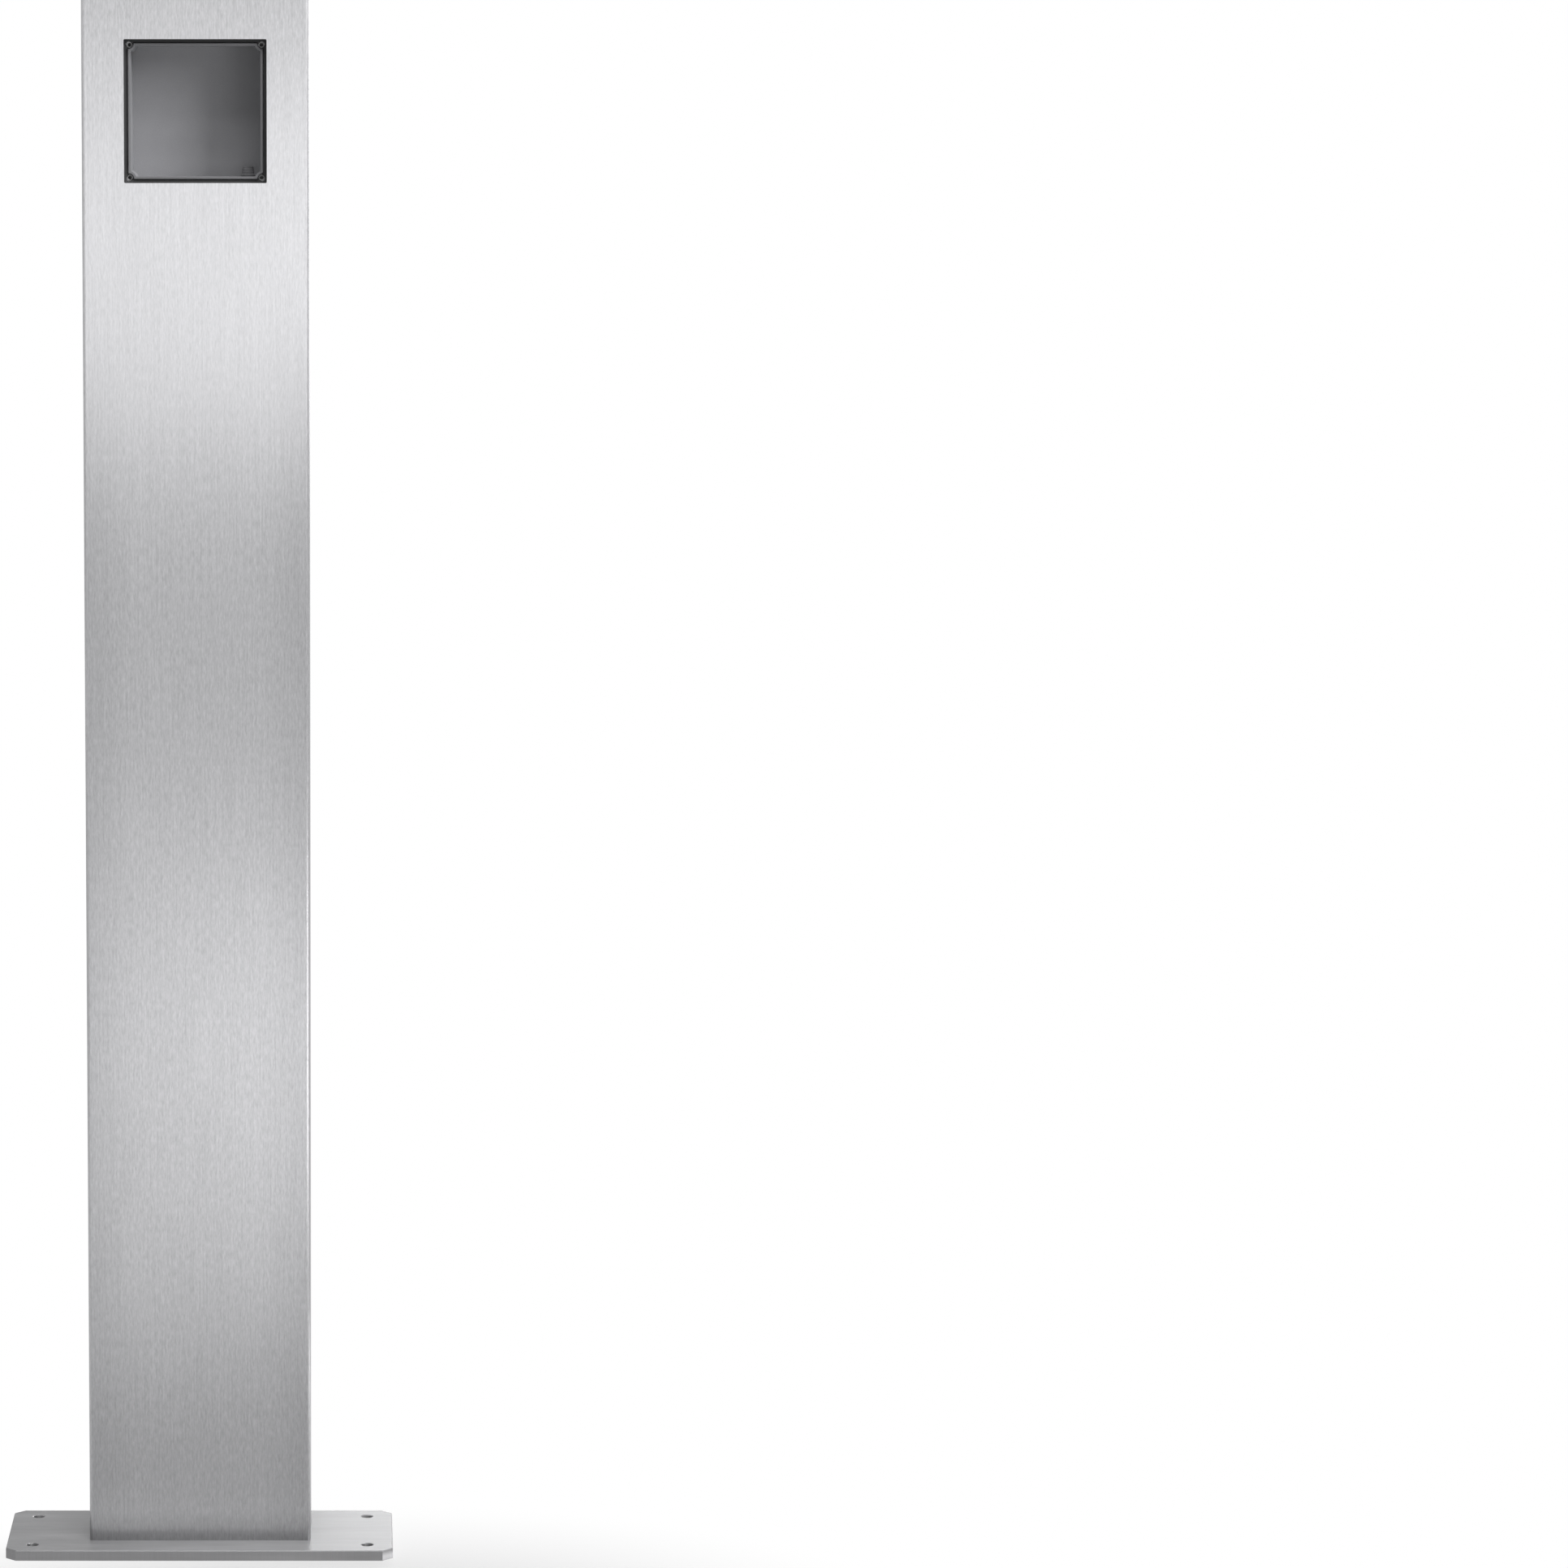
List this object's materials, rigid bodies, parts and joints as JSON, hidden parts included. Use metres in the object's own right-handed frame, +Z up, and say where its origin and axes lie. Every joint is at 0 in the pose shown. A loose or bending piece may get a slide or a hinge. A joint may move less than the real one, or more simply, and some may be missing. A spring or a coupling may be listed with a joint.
{
  "type": "intercom mounting post",
  "caption": "Free-standing stainless steel post on a bolted base plate, with a square window and a flush box near the top for an intercom module.",
  "frame": {"origin": "middle of the base plate's underside, on the ground", "axes": "+Z up along the post, +X to the right of someone facing the window, -Y out of the front face"},
  "size_m": [0.3, 0.12, 1.2],
  "materials": {
    "brushed_stainless": "fine vertical brushed stainless steel sheet",
    "stainless_plate": "ground stainless steel plate with broken edges",
    "mill_stainless": "plain mill-finish stainless steel",
    "stainless_fastener": "bright stainless fasteners",
    "bush_grey": "glass-filled pale grey polymer",
    "moulded_grey": "moulded grey plastic, fine texture",
    "nylon": "moulded black nylon",
    "black_rubber": "matt black rubber",
    "grey_rubber": "matt mid grey rubber",
    "black_foam": "closed-cell black foam"
  },
  "bodies": {
    "post": {"front_shell": "brushed_stainless", "top_cap": "brushed_stainless", "base_plate": "stainless_plate", "cable_grommet": "black_rubber", "foot_angle_left": "mill_stainless", "foot_angle_right": "mill_stainless", "foot_plate_screws": "stainless_fastener", "foot_plate_washers": "stainless_fastener", "foot_plate_nuts": "stainless_fastener", "foot_weld_studs": "stainless_fastener", "foot_washers": "stainless_fastener", "foot_nuts": "stainless_fastener", "earth_studs": "stainless_fastener", "earth_washers": "stainless_fastener", "earth_nuts": "stainless_fastener", "flush_box": "moulded_grey", "box_gasket": "black_rubber", "module_inserts": "bush_grey", "box_studs": "stainless_fastener", "box_washers": "stainless_fastener", "box_nuts": "stainless_fastener", "cable_cone": "grey_rubber", "cable_tie_bases": "nylon", "cover_seal": "black_foam", "cover_screws": "stainless_fastener", "lip_rivet_nuts": "stainless_fastener"},
    "rear_panel": {"rear_cover": "brushed_stainless", "cover_hooks": "mill_stainless"}
  },
  "joints": [
    {"name": "cover_lift", "type": "slide", "parent": "post", "child": "rear_panel", "axis": [0, 0, 1], "range_m": [0, 0.0095]}
  ]
}
